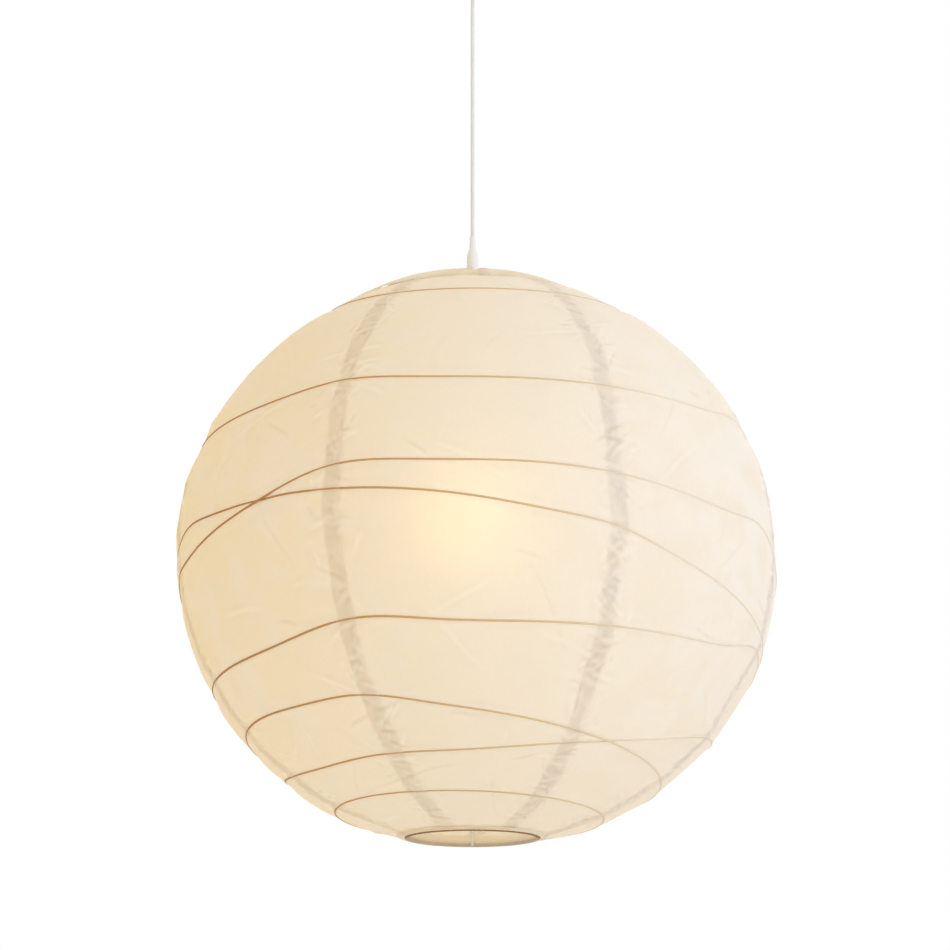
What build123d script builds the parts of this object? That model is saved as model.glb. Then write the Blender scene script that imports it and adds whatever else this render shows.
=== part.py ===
"""Paper globe pendant: seven paper gores over eight thin hoops, stretched by a wire frame
that hangs on an E27 lampholder, cord and ceiling rose. Millimetres, +Z up, origin on the
ceiling at the middle of the rose. The cord hangs along the Z axis."""

import os
from math import atan, cos, degrees, hypot, radians, sin, sqrt, tan

from build123d import *

os.makedirs("parts", exist_ok=True)

# ---- driving dimensions ------------------------------------------------------------
globe_z = -525.0            # centre of the paper globe below the ceiling
globe_radius = 225.0        # outside of the paper, across
globe_half_height = 216.0   # outside of the paper, up and down
paper = 0.5                 # thickness kept for the paper and its creases
gore_count = 7
first_seam = -28.0          # degrees from the front (-Y) towards +X
seam_gap = 0.04             # degrees left between two gores

hoop_wire = 1.8             # diameter of a hoop
hoop_clearance = 0.35       # between a hoop and the paper over it

top_ring_radius = 78.0
top_ring_height = 204.0     # above the centre of the globe
bottom_ring_radius = 48.0
bottom_ring_height = -207.5
bottom_ring_tilt = 3.0      # degrees, the back edge hangs higher
ring_wire = 3.0
stretcher_wire = 2.5

cord_diameter = 3.0
swing_z = -54.0             # where the cord flexes, just under the rose
cord_top_z = -52.8
cord_foot_height = 263.3    # above the centre of the globe
holder_z = -610.0           # datum of the lampholder and bulb: their heights are above it
bulb_radius = 30.0

# Hoops: height of the plane on the globe's axis, its slope in degrees along X and along Y,
# and how far the hoop is set in where it passes inside another one.
hoops = {
    "rib_1": (187.7, -0.1, 8.7, 0.0),
    "rib_2": (79.5, 0.2, 0.7, 0.0),
    "rib_3": (-26.5, 0.9, -10.3, 0.0),
    "rib_4": (-45.0, -8.7, -8.0, 3.2),
    "rib_5": (-93.4, 1.4, -0.2, 0.0),
    "rib_6": (-152.3, 4.8, 7.1, 4.2),
    "rib_7": (-156.3, -6.4, -3.3, 0.0),
    "rib_8": (-192.5, -1.5, -0.2, 0.0),
}

side_view = Plane((0, 0, globe_z), x_dir=(1, 0, 0), z_dir=(0, -1, 0))   # radius, height
holder_view = Plane((0, 0, holder_z), x_dir=(1, 0, 0), z_dir=(0, -1, 0))  # radius, height
front_back = Plane((0, 0, globe_z), x_dir=(0, 1, 0), z_dir=(1, 0, 0))   # Y, height
ceiling_view = Plane.XZ                                                 # radius, z
axis = Axis.Z


def height_plane(height):
    """A level plane at a height above the centre of the globe."""
    return Plane.XY.offset(globe_z + height)


def holder_plane(height):
    """A level plane at a height above the lampholder's datum."""
    return Plane.XY.offset(holder_z + height)


# ---- ceiling rose ------------------------------------------------------------------
plate_radius = 38.0
plate_thickness = 1.5
screw_spacing = 50.0
screw_hole = 2.25
cable_hole = 6.0
cable_hole_y = -22.0
nipple_radius = 5.0
nipple_bore = 3.2
nipple_end_z = -49.0
nut_height = 4.0
nut_radius = 8.2            # to its corners
nut_chamfer = 0.5
block_length, block_width, block_height = 24.0, 14.0, 13.0
block_y = 22.0
block_hole = 1.6
block_hole_x = 6.0
block_hole_depth = 6.0
cup_radius = 44.0
cup_wall = 2.0
cup_rim_z = -0.6
cup_shoulder_z = -20.0
cup_floor_radius = 14.0     # flat part under the nut
cup_bottom_z = -45.0

with BuildPart() as ceiling_plate:
    with BuildSketch(Plane.XY.offset(-plate_thickness)):
        Circle(plate_radius)
        Circle(nipple_radius, mode=Mode.SUBTRACT)
        with GridLocations(screw_spacing, 0, 2, 1):
            Circle(screw_hole, mode=Mode.SUBTRACT)
        with Locations((0, cable_hole_y)):
            Circle(cable_hole, mode=Mode.SUBTRACT)
    extrude(amount=plate_thickness)
ceiling_plate.part.label = "ceiling_plate"
export_step(ceiling_plate.part, "parts/ceiling_plate.step")

with BuildPart() as threaded_nipple:
    with BuildSketch(Plane.XY.offset(nipple_end_z)):
        Circle(nipple_radius)
        Circle(nipple_bore, mode=Mode.SUBTRACT)
    extrude(amount=-plate_thickness / 2 - nipple_end_z)
threaded_nipple.part.label = "threaded_nipple"
export_step(threaded_nipple.part, "parts/threaded_nipple.step")

for nut_name, nut_top_z in (("plate_nut", -plate_thickness), ("cup_nut", cup_bottom_z)):
    with BuildPart() as nut:
        with BuildSketch(Plane.XY.offset(nut_top_z - nut_height)):
            RegularPolygon(nut_radius, 6)
            Circle(nipple_radius, mode=Mode.SUBTRACT)
        extrude(amount=nut_height)
        lower_face = nut.faces().filter_by(Axis.Z).sort_by(Axis.Z)[0]
        chamfer(lower_face.outer_wire().edges(), nut_chamfer)
    nut.part.label = nut_name
    export_step(nut.part, f"parts/{nut_name}.step")

with BuildPart() as terminal_block:
    block_foot = Plane.XY.offset(-plate_thickness - block_height)
    with BuildSketch(block_foot):
        with Locations((0, block_y)):
            RectangleRounded(block_length, block_width, 1.5)
    extrude(amount=block_height)
    with Locations(*(block_foot * Pos(x, block_y) for x in (-block_hole_x, block_hole_x))):
        Hole(block_hole, block_hole_depth)
terminal_block.part.label = "terminal_block"
export_step(terminal_block.part, "parts/terminal_block.step")

with BuildPart() as ceiling_cup:
    with BuildSketch(ceiling_view):
        with BuildLine():
            inner_radius = cup_radius - cup_wall
            floor_top_z = cup_bottom_z + cup_wall
            Polyline((inner_radius, cup_rim_z), (cup_radius, cup_rim_z),
                     (cup_radius, cup_shoulder_z))
            ThreePointArc((cup_radius, cup_shoulder_z), (33.5, -38.0),
                          (cup_floor_radius, cup_bottom_z))
            Polyline((cup_floor_radius, cup_bottom_z), (nipple_radius + 0.1, cup_bottom_z),
                     (nipple_radius + 0.1, floor_top_z), (cup_floor_radius, floor_top_z))
            ThreePointArc((cup_floor_radius, floor_top_z), (32.2, -36.5),
                          (inner_radius, cup_shoulder_z))
            Line((inner_radius, cup_shoulder_z), (inner_radius, cup_rim_z))
        make_face()
    revolve(axis=axis)
ceiling_cup.part.label = "ceiling_cup"
export_step(ceiling_cup.part, "parts/ceiling_cup.step")

# ---- cord --------------------------------------------------------------------------
tail_length = 40.0
tail_out = 0.3              # how far the tail stands out of the nipple
grommet_radius = 4.4
grommet_bore = 2.6
grommet_rim = 5.0
grommet_height = 4.8

with BuildPart() as cord_tail:
    with BuildSketch(Plane.XY.offset(nipple_end_z - tail_out)):
        Circle(cord_diameter / 2)
    extrude(amount=tail_length)
cord_tail.part.label = "cord_tail"
export_step(cord_tail.part, "parts/cord_tail.step")

# The bead that the cord flexes in: round outside, so it can rock under the nut.
with BuildPart() as cord_grommet:
    with BuildSketch(ceiling_view):
        with Locations((0, swing_z)):
            Circle(grommet_radius)
        with Locations(((grommet_bore + grommet_rim) / 2, swing_z)):
            Rectangle(grommet_rim - grommet_bore, grommet_height, mode=Mode.INTERSECT)
    revolve(axis=axis)
cord_grommet.part.label = "cord_grommet"
export_step(cord_grommet.part, "parts/cord_grommet.step")

cord_length = cord_top_z - (globe_z + cord_foot_height)
with BuildPart() as cord:
    with BuildSketch(Plane.XY.offset(globe_z + cord_foot_height)):
        Circle(cord_diameter / 2)
    extrude(amount=cord_length)
cord.part.label = "cord"
export_step(cord.part, "parts/cord.step")

# ---- lampholder: a long stem carries it down into the globe --------------------------
relief_foot = 229.0         # these three are above the globe's centre
relief_seat = 236.0
relief_top = 263.0
relief_bore = cord_diameter / 2
stem_radius = 4.4
stem_bore = 3.05
stem_foot = 231.5
cap_top = 236.0
cap_wall = 1.8
cap_radius = 19.5
cap_crown_radius = 6.5      # flat part round the stem
cap_shoulder = 218.0
flange_top = 203.0
flange_height = 3.0
flange_radius = 24.0
skirt_radius = 17.5
skirt_bore = 15.0
skirt_foot = 162.0
shell_radius = 13.7         # inside of the screw shell
shell_wall = 0.5
shell_foot = 168.0
shell_height = 30.3
holder_block_foot = 198.5
holder_block_height = 8.0
holder_block_radius = 14.9
terminal_spacing = 16.0
terminal_hole = 2.1
terminal_hole_depth = 3.0
terminal_radius = 2.0
terminal_height = 5.8
terminal_foot = 203.6
slot_size = (5.0, 0.6, 1.6)
contact_foot = 197.6
contact_size = (18.0, 6.0, 0.8)
conductor_radius = 0.9
conductor_foot = 209.5
conductor_rise = 14.0
conductor_bend = 223.0      # where the conductors turn in to the cord
ring_foot = 191.0
ring_height = 6.3
ring_radius = 27.0
ring_notches = 18
ring_notch = 1.2
inner_cord_foot = 224.0
cord_gap = 0.3              # between the cord that swings and the one in the stem

with BuildPart() as strain_relief:
    with BuildSketch(side_view):
        with BuildLine():
            Polyline((relief_bore, relief_foot), (2 * relief_bore, relief_foot),
                     (2 * relief_bore, relief_seat + 0.1), (stem_radius, relief_seat + 0.1),
                     (4.5, 245.5), (3.9, 249.0), (2.5, 253.0), (2.1, relief_top),
                     (relief_bore, relief_top), (relief_bore, relief_foot))
        make_face()
    revolve(axis=axis)
strain_relief.part.label = "strain_relief"
export_step(strain_relief.part, "parts/strain_relief.step")

with BuildPart() as holder_stem:
    with BuildSketch(holder_plane(stem_foot)):
        Circle(stem_radius)
        Circle(stem_bore, mode=Mode.SUBTRACT)
    extrude(amount=globe_z + relief_seat - holder_z - stem_foot)
holder_stem.part.label = "holder_stem"
export_step(holder_stem.part, "parts/holder_stem.step")

with BuildPart() as inner_cord:
    with BuildSketch(holder_plane(inner_cord_foot)):
        Circle(cord_diameter / 2)
    extrude(amount=globe_z + relief_top - cord_gap - holder_z - inner_cord_foot)
inner_cord.part.label = "inner_cord"
export_step(inner_cord.part, "parts/inner_cord.step")

with BuildPart() as conductors:
    with BuildSketch(holder_plane(conductor_foot)):
        with GridLocations(terminal_spacing, 0, 2, 1):
            Circle(conductor_radius)
    extrude(amount=conductor_rise)
    for end_x in (-terminal_spacing / 2 - conductor_radius, cord_diameter / 2 + 0.1):
        with BuildSketch(Plane((end_x, 0, holder_z + conductor_bend), x_dir=(0, 1, 0),
                               z_dir=(1, 0, 0))):
            Circle(conductor_radius)
        extrude(amount=(terminal_spacing - cord_diameter) / 2 + conductor_radius - 0.1)
conductors.part.label = "conductors"
export_step(conductors.part, "parts/conductors.step")

with BuildPart() as holder_cap:
    with BuildSketch(holder_view):
        with BuildLine():
            bore = stem_radius + 0.05
            inside = cap_radius - cap_wall
            Line((bore, cap_top), (cap_crown_radius, cap_top))
            ThreePointArc((cap_crown_radius, cap_top), (15.8, 230.4), (cap_radius, cap_shoulder))
            Polyline((cap_radius, cap_shoulder), (cap_radius, flange_top),
                     (inside, flange_top), (inside, cap_shoulder))
            ThreePointArc((inside, cap_shoulder), (14.4, 229.0),
                          (cap_crown_radius, cap_top - cap_wall))
            Polyline((cap_crown_radius, cap_top - cap_wall), (bore, cap_top - cap_wall),
                     (bore, cap_top))
        make_face()
    revolve(axis=axis)
holder_cap.part.label = "holder_cap"
export_step(holder_cap.part, "parts/holder_cap.step")

with BuildPart() as holder_skirt:
    with BuildSketch(holder_view):
        with BuildLine():
            flange_foot = flange_top - flange_height
            Polyline((skirt_bore, skirt_foot), (skirt_radius - 1, skirt_foot),
                     (skirt_radius, skirt_foot + 1), (skirt_radius, flange_foot),
                     (flange_radius, flange_foot), (flange_radius, flange_top),
                     (skirt_bore, flange_top), (skirt_bore, skirt_foot))
        make_face()
    revolve(axis=axis)
holder_skirt.part.label = "holder_skirt"
export_step(holder_skirt.part, "parts/holder_skirt.step")

with BuildPart() as insulator_block:
    with BuildSketch(holder_plane(holder_block_foot)):
        Circle(holder_block_radius)
    extrude(amount=holder_block_height)
    with Locations(holder_plane(holder_block_foot + holder_block_height)):
        with GridLocations(terminal_spacing, 0, 2, 1):
            Hole(terminal_hole, terminal_hole_depth)
insulator_block.part.label = "insulator_block"
export_step(insulator_block.part, "parts/insulator_block.step")

with BuildPart() as terminal_screws:
    with BuildSketch(holder_plane(terminal_foot)):
        with GridLocations(terminal_spacing, 0, 2, 1):
            Circle(terminal_radius)
    extrude(amount=terminal_height)
    with Locations(holder_plane(terminal_foot + terminal_height)):
        with GridLocations(terminal_spacing, 0, 2, 1):
            Box(*slot_size, mode=Mode.SUBTRACT)
terminal_screws.part.label = "terminal_screws"
export_step(terminal_screws.part, "parts/terminal_screws.step")

with BuildPart() as screw_shell:
    with BuildSketch(holder_plane(shell_foot)):
        Circle(shell_radius + shell_wall)
        Circle(shell_radius, mode=Mode.SUBTRACT)
    extrude(amount=shell_height)
screw_shell.part.label = "screw_shell"
export_step(screw_shell.part, "parts/screw_shell.step")

with BuildPart() as centre_contact:
    with BuildSketch(holder_plane(contact_foot)):
        RectangleRounded(contact_size[0], contact_size[1], contact_size[1] / 2 - 0.1)
    extrude(amount=contact_size[2])
centre_contact.part.label = "centre_contact"
export_step(centre_contact.part, "parts/centre_contact.step")

with BuildPart() as shade_ring:
    with BuildSketch(holder_plane(ring_foot)):
        Circle(ring_radius)
        Circle(skirt_radius + 0.1, mode=Mode.SUBTRACT)
        with PolarLocations(ring_radius, ring_notches):
            Circle(ring_notch, mode=Mode.SUBTRACT)
    extrude(amount=ring_height)
shade_ring.part.label = "shade_ring"
export_step(shade_ring.part, "parts/shade_ring.step")

# ---- bulb --------------------------------------------------------------------------
tip_middle = 192.0          # centre and radius of the rounded contact at the tip
tip_radius = 5.5
tip_foot = 195.0
vitrite_foot = 190.5
vitrite_top = 194.6
cap_foot = 166.5            # of the bulb's own screw cap
screw_height = 24.0
screw_radius = 12.2
screw_bore = 11.6
thread_pitch = 3.629
thread_turns = 5
thread_first = 172.0
thread_section = (1.0, 1.25)
neck_radius = 13.4
bulb_seam = 133.0           # where the housing meets the diffuser
bulb_middle = 116.0         # centre of the diffuser's sphere
rim_radius = sqrt(bulb_radius**2 - (bulb_seam - bulb_middle) ** 2)
board_radius = 22.0
board_thickness = 1.6
chip_circle, chip_count, chip_side, chip_height = 15.0, 8, 3.0, 1.0
diffuser_wall = 1.2

with BuildPart() as bulb_contact:
    with Locations((0, 0, holder_z + tip_middle)):
        Sphere(tip_radius)
    split(bisect_by=holder_plane(tip_foot), keep=Keep.TOP)
bulb_contact.part.label = "bulb_contact"
export_step(bulb_contact.part, "parts/bulb_contact.step")

with BuildPart() as bulb_insulator:
    with BuildSketch(holder_view):
        Polygon((0, vitrite_foot), (screw_bore, vitrite_foot), (5.4, vitrite_top),
                (0, vitrite_top), align=None)
    revolve(axis=axis)
bulb_insulator.part.label = "bulb_insulator"
export_step(bulb_insulator.part, "parts/bulb_insulator.step")

with BuildPart() as bulb_cap:
    with BuildSketch(holder_plane(cap_foot)):
        Circle(screw_radius)
    extrude(amount=screw_height)
    with BuildSketch(holder_view):
        for turn in range(thread_turns):
            with Locations((screw_radius, thread_first + turn * thread_pitch)):
                Ellipse(*thread_section)
    revolve(axis=axis)
    with BuildSketch(holder_plane(cap_foot)):
        Circle(screw_bore)
    extrude(amount=screw_height, mode=Mode.SUBTRACT)
bulb_cap.part.label = "bulb_cap"
export_step(bulb_cap.part, "parts/bulb_cap.step")

with BuildPart() as bulb_housing:
    with BuildSketch(holder_view):
        with BuildLine():
            Line((0, bulb_seam), (rim_radius, bulb_seam))
            ThreePointArc((rim_radius, bulb_seam), (17.6, 150.0), (neck_radius, cap_foot))
            Polyline((neck_radius, cap_foot), (0, cap_foot), (0, bulb_seam))
        make_face()
    revolve(axis=axis)
bulb_housing.part.label = "bulb_housing"
export_step(bulb_housing.part, "parts/bulb_housing.step")

with BuildPart() as led_board:
    with BuildSketch(holder_plane(bulb_seam - board_thickness)):
        Circle(board_radius)
    extrude(amount=board_thickness)
    with BuildSketch(holder_plane(bulb_seam - board_thickness - chip_height)):
        with PolarLocations(chip_circle, chip_count):
            Rectangle(chip_side, chip_side)
    extrude(amount=chip_height)
led_board.part.label = "led_board"
export_step(led_board.part, "parts/led_board.step")

with BuildPart() as bulb_diffuser:
    with Locations((0, 0, holder_z + bulb_middle)):
        Sphere(bulb_radius)
        Sphere(bulb_radius - diffuser_wall, mode=Mode.SUBTRACT)
    split(bisect_by=holder_plane(bulb_seam), keep=Keep.BOTTOM)
bulb_diffuser.part.label = "bulb_diffuser"
export_step(bulb_diffuser.part, "parts/bulb_diffuser.step")

# ---- stretcher: two long wire legs, and a yoke between them clamped on the lampholder ----
wire = stretcher_wire / 2
touch = 0.05                # left where the wire rests on the flange or on the top ring
loop_gap = 0.5              # between the yoke's loop and the skirt
arm_gap = 0.02              # between the yoke's arms and the legs
foot_gap = 0.45             # between the feet and the bottom ring
loop_height = flange_top - flange_height - wire - touch
loop_radius = skirt_radius + wire + loop_gap
hook_crest = top_ring_height + ring_wire / 2 + wire + touch
hook_radius = top_ring_radius + ring_wire / 2 + wire + touch
hook_drop = 4.0
hook_inside = 70.0          # radius where the leg leaves the hook
shoulder_radius = 60.0
shoulder_height = 197.0
leg_radius = 36.0
knee_height = -190.0
foot_length = 8.0
foot_below_ring = 0.8       # the tip's end is this far below the middle of the ring's wire
foot_radius = bottom_ring_radius - ring_wire / 2 - wire - foot_gap

with BuildPart() as stretcher_yoke:
    with BuildSketch(holder_view):
        with Locations((loop_radius, loop_height)):
            Circle(wire)
    revolve(axis=axis)
    for side in (-1, 1):
        with BuildSketch(Plane((0, side * loop_radius, holder_z + loop_height),
                               x_dir=(1, 0, 0), z_dir=(0, side, 0))):
            Circle(wire)
        extrude(amount=leg_radius - wire - arm_gap - loop_radius)
stretcher_yoke.part.label = "stretcher_yoke"
export_step(stretcher_yoke.part, "parts/stretcher_yoke.step")

for leg_name, side in (("stretcher_leg_front", -1), ("stretcher_leg_back", 1)):
    with BuildPart() as leg:
        ring_rise = side * bottom_ring_radius * tan(radians(bottom_ring_tilt))
        tip_height = bottom_ring_height + ring_rise - foot_below_ring
        with BuildLine(front_back):
            path = FilletPolyline((side * hook_radius, hook_crest - hook_drop),
                                  (side * hook_radius, hook_crest),
                                  (side * hook_inside, hook_crest),
                                  (side * shoulder_radius, shoulder_height),
                                  (side * leg_radius, shoulder_height),
                                  (side * leg_radius, knee_height),
                                  (side * foot_radius, tip_height + foot_length),
                                  (side * foot_radius, tip_height),
                                  radius=[2.7, 5, 6, 6, 5, 5])
        with BuildSketch(Plane(path @ 0, z_dir=path % 0)):
            Circle(wire)
        sweep(path=path)
    leg.part.label = leg_name
    export_step(leg.part, f"parts/{leg_name}.step")

# ---- rings and hoops ---------------------------------------------------------------
with BuildPart() as top_ring:
    with BuildSketch(side_view):
        with Locations((top_ring_radius, top_ring_height)):
            Circle(ring_wire / 2)
    revolve(axis=axis)
top_ring.part.label = "top_ring"
export_step(top_ring.part, "parts/top_ring.step")

ring_frame = Plane((0, 0, globe_z + bottom_ring_height)).rotated((bottom_ring_tilt, 0, 0))
ring_axis = Axis(ring_frame.origin, ring_frame.z_dir)
ring_section = Plane(ring_frame.origin, x_dir=ring_frame.x_dir, z_dir=-ring_frame.y_dir)

with BuildPart() as bottom_ring:
    with BuildSketch(ring_section):
        with Locations((bottom_ring_radius, 0)):
            Circle(ring_wire / 2)
    revolve(axis=ring_axis)
bottom_ring.part.label = "bottom_ring"
export_step(bottom_ring.part, "parts/bottom_ring.step")

foot_collar_inner = (50.2, -1.9)    # radius, and height in the ring's own tilted frame
foot_collar_outer = (66.0, 0.6)

with BuildPart() as bottom_collar:
    with BuildSketch(ring_section):
        Polygon(foot_collar_inner, foot_collar_outer,
                (foot_collar_outer[0], foot_collar_outer[1] + paper),
                (foot_collar_inner[0], foot_collar_inner[1] + paper), align=None)
    revolve(axis=ring_axis)
bottom_collar.part.label = "bottom_collar"
export_step(bottom_collar.part, "parts/bottom_collar.step")


def hoop_circle(height, slope_x, slope_y, inset):
    """Centre, normal and radius of the circle just inside the paper on a sloping plane."""
    in_from_paper = paper + hoop_clearance + hoop_wire / 2
    a = globe_radius - in_from_paper
    b = globe_half_height - in_from_paper
    rise_x, rise_y = tan(radians(slope_x)), tan(radians(slope_y))
    rise = hypot(rise_x, rise_y)
    q = 1 / a**2 + (rise / b) ** 2
    off = -height * rise / b**2 / q
    k = 1 - (height / b) ** 2 + (height * rise / b**2) ** 2 / q
    radius = min(a * sqrt(k), sqrt(k / q) * sqrt(1 + rise**2)) - inset
    centre = (off * rise_x / rise, off * rise_y / rise, globe_z + height + rise * off)
    return centre, (-rise_x, -rise_y, 1), radius


for hoop_name, hoop in hoops.items():
    centre, normal, radius = hoop_circle(*hoop)
    level = Plane(centre, z_dir=normal)
    with BuildPart() as rib:
        with BuildSketch(Plane(centre, x_dir=level.x_dir, z_dir=-level.y_dir)):
            with Locations((radius, 0)):
                Circle(hoop_wire / 2)
        revolve(axis=Axis(centre, normal))
    rib.part.label = hoop_name
    export_step(rib.part, f"parts/{hoop_name}.step")

# ---- paper -------------------------------------------------------------------------
collar_edge = (104.0, 191.5)        # radius and height of the collar's lower edge
collar_top = (80.0, 205.6)
collar_in = (-0.5 * paper, -0.86 * paper)   # from its outside to its inside
hook_notch = (9.0, 8.0, 12.0)
notch_y = 83.0
gore_foot_radius = 68.0
gore_top_radius = collar_edge[0] + 1.5


def globe_height(radius, inside=0.0):
    """Height of the globe's surface at a radius, or of a surface so far inside it."""
    return (globe_half_height - inside) * sqrt(1 - (radius / (globe_radius - inside)) ** 2)


def meridian_angle(radius, inside=0.0):
    """Angle of that point on the meridian's ellipse, from the widest circle."""
    height = globe_height(radius, inside)
    return degrees(atan((height / (globe_half_height - inside)) / (radius / (globe_radius - inside))))


with BuildPart() as top_collar:
    with BuildSketch(side_view):
        Polygon(collar_top, collar_edge,
                (collar_edge[0] + collar_in[0], collar_edge[1] + collar_in[1]),
                (collar_top[0] + collar_in[0], collar_top[1] + collar_in[1]), align=None)
    revolve(axis=axis)
    with Locations(*((0, side * notch_y, globe_z + top_ring_height) for side in (-1, 1))):
        Box(*hook_notch, mode=Mode.SUBTRACT)   # the ring is bare where the hooks hold it
top_collar.part.label = "top_collar"
export_step(top_collar.part, "parts/top_collar.step")


def meridian(inside):
    """The part of a meridian that the paper covers, drawn so far inside the surface."""
    foot = meridian_angle(gore_foot_radius, inside)
    top = meridian_angle(gore_top_radius, inside)
    return EllipticalCenterArc((0, 0), globe_radius - inside, globe_half_height - inside,
                               start_angle=-foot, arc_size=foot + top)


gore_angle = 360 / gore_count
for number in range(gore_count):
    start = radians(first_seam + number * gore_angle + seam_gap / 2 - 90)
    out = Vector(cos(start), sin(start), 0)
    with BuildPart() as gore:
        with BuildSketch(Plane((0, 0, globe_z), x_dir=out, z_dir=out.cross(Vector(0, 0, 1)))):
            with BuildLine():
                outer = meridian(0)
                inner = meridian(paper)
                Line(outer @ 0, inner @ 0)
                Line(outer @ 1, inner @ 1)
            make_face()
        revolve(axis=axis, revolution_arc=gore_angle - seam_gap)
    gore.part.label = f"paper_gore_{number + 1}"
    export_step(gore.part, f"parts/paper_gore_{number + 1}.step")
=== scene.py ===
import math

import bmesh
import bpy
import numpy as np
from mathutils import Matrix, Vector


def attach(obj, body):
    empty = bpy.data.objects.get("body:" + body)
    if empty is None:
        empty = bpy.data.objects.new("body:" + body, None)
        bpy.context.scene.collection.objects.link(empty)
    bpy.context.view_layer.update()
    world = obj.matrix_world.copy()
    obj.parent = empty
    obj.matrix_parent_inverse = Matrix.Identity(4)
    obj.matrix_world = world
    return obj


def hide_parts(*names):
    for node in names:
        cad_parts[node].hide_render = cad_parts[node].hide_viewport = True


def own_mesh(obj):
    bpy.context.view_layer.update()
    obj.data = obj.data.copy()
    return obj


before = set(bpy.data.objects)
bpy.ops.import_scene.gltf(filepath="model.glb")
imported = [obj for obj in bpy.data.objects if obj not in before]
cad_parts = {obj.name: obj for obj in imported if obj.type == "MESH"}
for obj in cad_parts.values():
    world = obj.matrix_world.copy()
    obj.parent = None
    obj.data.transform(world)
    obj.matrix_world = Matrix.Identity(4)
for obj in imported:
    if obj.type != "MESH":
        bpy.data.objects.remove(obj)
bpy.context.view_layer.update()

print("frame loaded:", len(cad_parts), "nodes")

mm = 0.001


# small helpers
def fromHex(code):
    parts = [int(code[i:i + 2], 16) / 255 for i in (1, 3, 5)]
    return tuple(c / 12.92 if c <= 0.04045 else ((c + 0.055) / 1.055) ** 2.4 for c in parts) + (1.0,)


# In a colour mix, input 0 is the share and inputs 6 and 7 are the two colours.
def addNode(tree, kind, inputs=None, stops=(), **settings):
    node = tree.nodes.new(kind)
    for name, value in settings.items():
        setattr(node, name, value)
    for name, value in (inputs or {}).items():
        socket = node.inputs[name]
        if isinstance(value, bpy.types.NodeSocket):
            tree.links.new(value, socket)
        else:
            socket.default_value = value
    if stops:
        points = node.color_ramp.elements
        while len(points) < len(stops):
            points.new(0.5)
        for point, (place, colour) in zip(points, stops):
            point.position = place
            point.color = colour
    return node


def startMaterial(name):
    material = bpy.data.materials.new(name)
    material.use_nodes = True
    material.node_tree.nodes.clear()
    tree = material.node_tree
    coords = addNode(tree, "ShaderNodeTexCoord").outputs["Object"]
    return material, tree, coords


def newPiece(name, points, faces, material=None, smooth=True):
    mesh = bpy.data.meshes.new(name)
    mesh.from_pydata([tuple(p) for p in points], [], faces)
    mesh.polygons.foreach_set("use_smooth", [smooth] * len(mesh.polygons))
    if material:
        mesh.materials.append(material)
    piece = bpy.data.objects.new(name, mesh)
    bpy.context.scene.collection.objects.link(piece)
    return piece


# camera
camera = {"distance": 2.15, "below": 15.5, "aimAbove": 1.76, "side": 0.0019, "lens": 108.4}
globeZ = -0.525

lens = bpy.data.cameras.new("camera")
lens.lens = camera["lens"]
lens.sensor_width = 36
eye = bpy.data.objects.new("camera", lens)
eye.location = (camera["side"],
                -camera["distance"] * math.cos(math.radians(camera["below"])),
                globeZ - camera["distance"] * math.sin(math.radians(camera["below"])))
eye.rotation_euler = (math.radians(90 + camera["below"] + camera["aimAbove"]), 0, 0)
bpy.context.scene.collection.objects.link(eye)
bpy.context.scene.camera = eye
bpy.context.scene.view_settings.view_transform = "Standard"

# paper
# Rice paper: long soft fibres laid at random in a thin pulp. It scatters light through itself,
# so the lamp shows as a blurred warm spot. A doubled lap is painted greyer than the single sheet, as shade.
# Its fibres and clouds are drawn coarser than real ones, so that they show.
# left and right, and lapLeft and lapRight, are painted shade and light: the sheet is coloured warmer and
# darker on the left and whiter on the right, as the light falls
paperLook = {"left": "#F8EACD", "right": "#FAFAFD", "through": "#FDF8EB", "lapLeft": "#EEE2CB",
             "lapRight": "#EAE7EC", "blush": "#F7F1E9", "ridgeHighlight": "#FFFEFA", "furrowShade": "#CFBEA9",
             "fibreMm": 1.1, "cloudMm": 38.0, "blotchMm": 16, "ridgeHighlightShare": 0.5, "furrowShadeShare": 0.22,
             "throughShare": 0.36, "lapShare": 0.42}


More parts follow.
